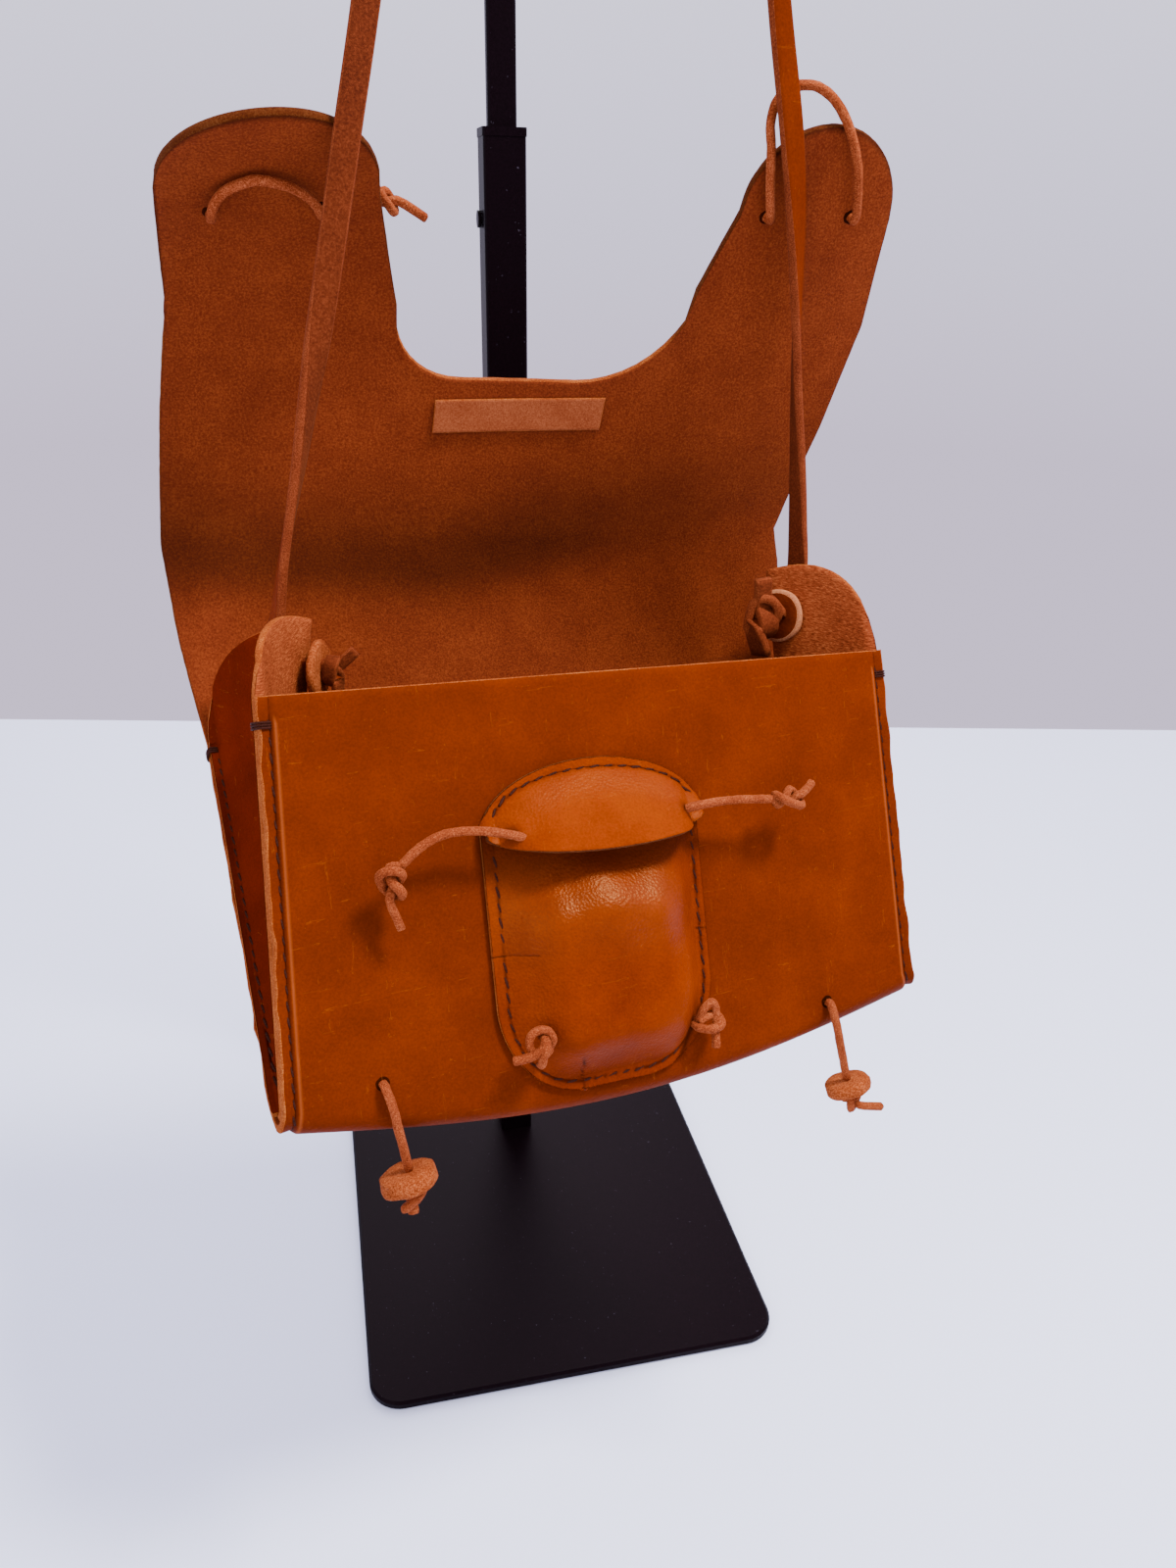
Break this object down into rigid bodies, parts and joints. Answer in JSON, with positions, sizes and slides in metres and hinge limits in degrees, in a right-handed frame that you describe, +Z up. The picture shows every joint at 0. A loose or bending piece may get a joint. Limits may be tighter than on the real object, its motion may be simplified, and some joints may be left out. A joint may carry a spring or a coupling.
{
  "type": "handbag on display stand",
  "caption": "Hand-sewn leather crossbody bag with open flap, small front pocket and knotted strap, hung on a plain metal counter stand.",
  "frame": {"origin": "on the floor under the middle of the stand's base plate", "axes": "+X to the viewer's right along the bag's front, +Y to the back, +Z up"},
  "size_m": [0.2665, 0.3544, 0.88],
  "materials": {
    "grain_leather": "smooth full-grain, vegetable tanned",
    "gusset_leather": "smooth full-grain, darker",
    "lid_leather": "smooth full-grain, lighter",
    "label_leather": "skived and pressed, matt",
    "disc_leather": "flesh side out, matt",
    "lace_leather": "thin suede lace, matt",
    "coated_steel": "matt powder coat"
  },
  "bodies": {
    "root": {"shell": "grain_leather", "gusset_left": "gusset_leather", "strap_washer_left": "disc_leather", "pocket_tie_left": "lace_leather", "gusset_right": "gusset_leather", "strap_washer_right": "disc_leather", "pocket_tie_right": "lace_leather", "pocket_pouch": "grain_leather", "pocket_lid": "lid_leather", "lid_lace_left": "lace_leather", "lid_lace_right": "lace_leather", "toggle_cord_left": "lace_leather", "toggle_cord_right": "lace_leather", "lid_knot_left": "lace_leather", "lid_knot_right": "lace_leather", "toggle_disc_left": "disc_leather", "toggle_knot_left": "lace_leather", "toggle_disc_right": "disc_leather", "toggle_knot_right": "lace_leather", "ear_loop_left": "lace_leather", "ear_loop_right": "lace_leather", "ear_tie_left": "lace_leather", "ear_tie_right": "lace_leather", "label_patch": "label_leather", "strap": "grain_leather", "stand_base": "coated_steel", "stand_lower_tube": "coated_steel", "stand_upper_tube": "coated_steel", "stand_screw": "coated_steel", "stand_hook": "coated_steel"}
  },
  "joints": []
}
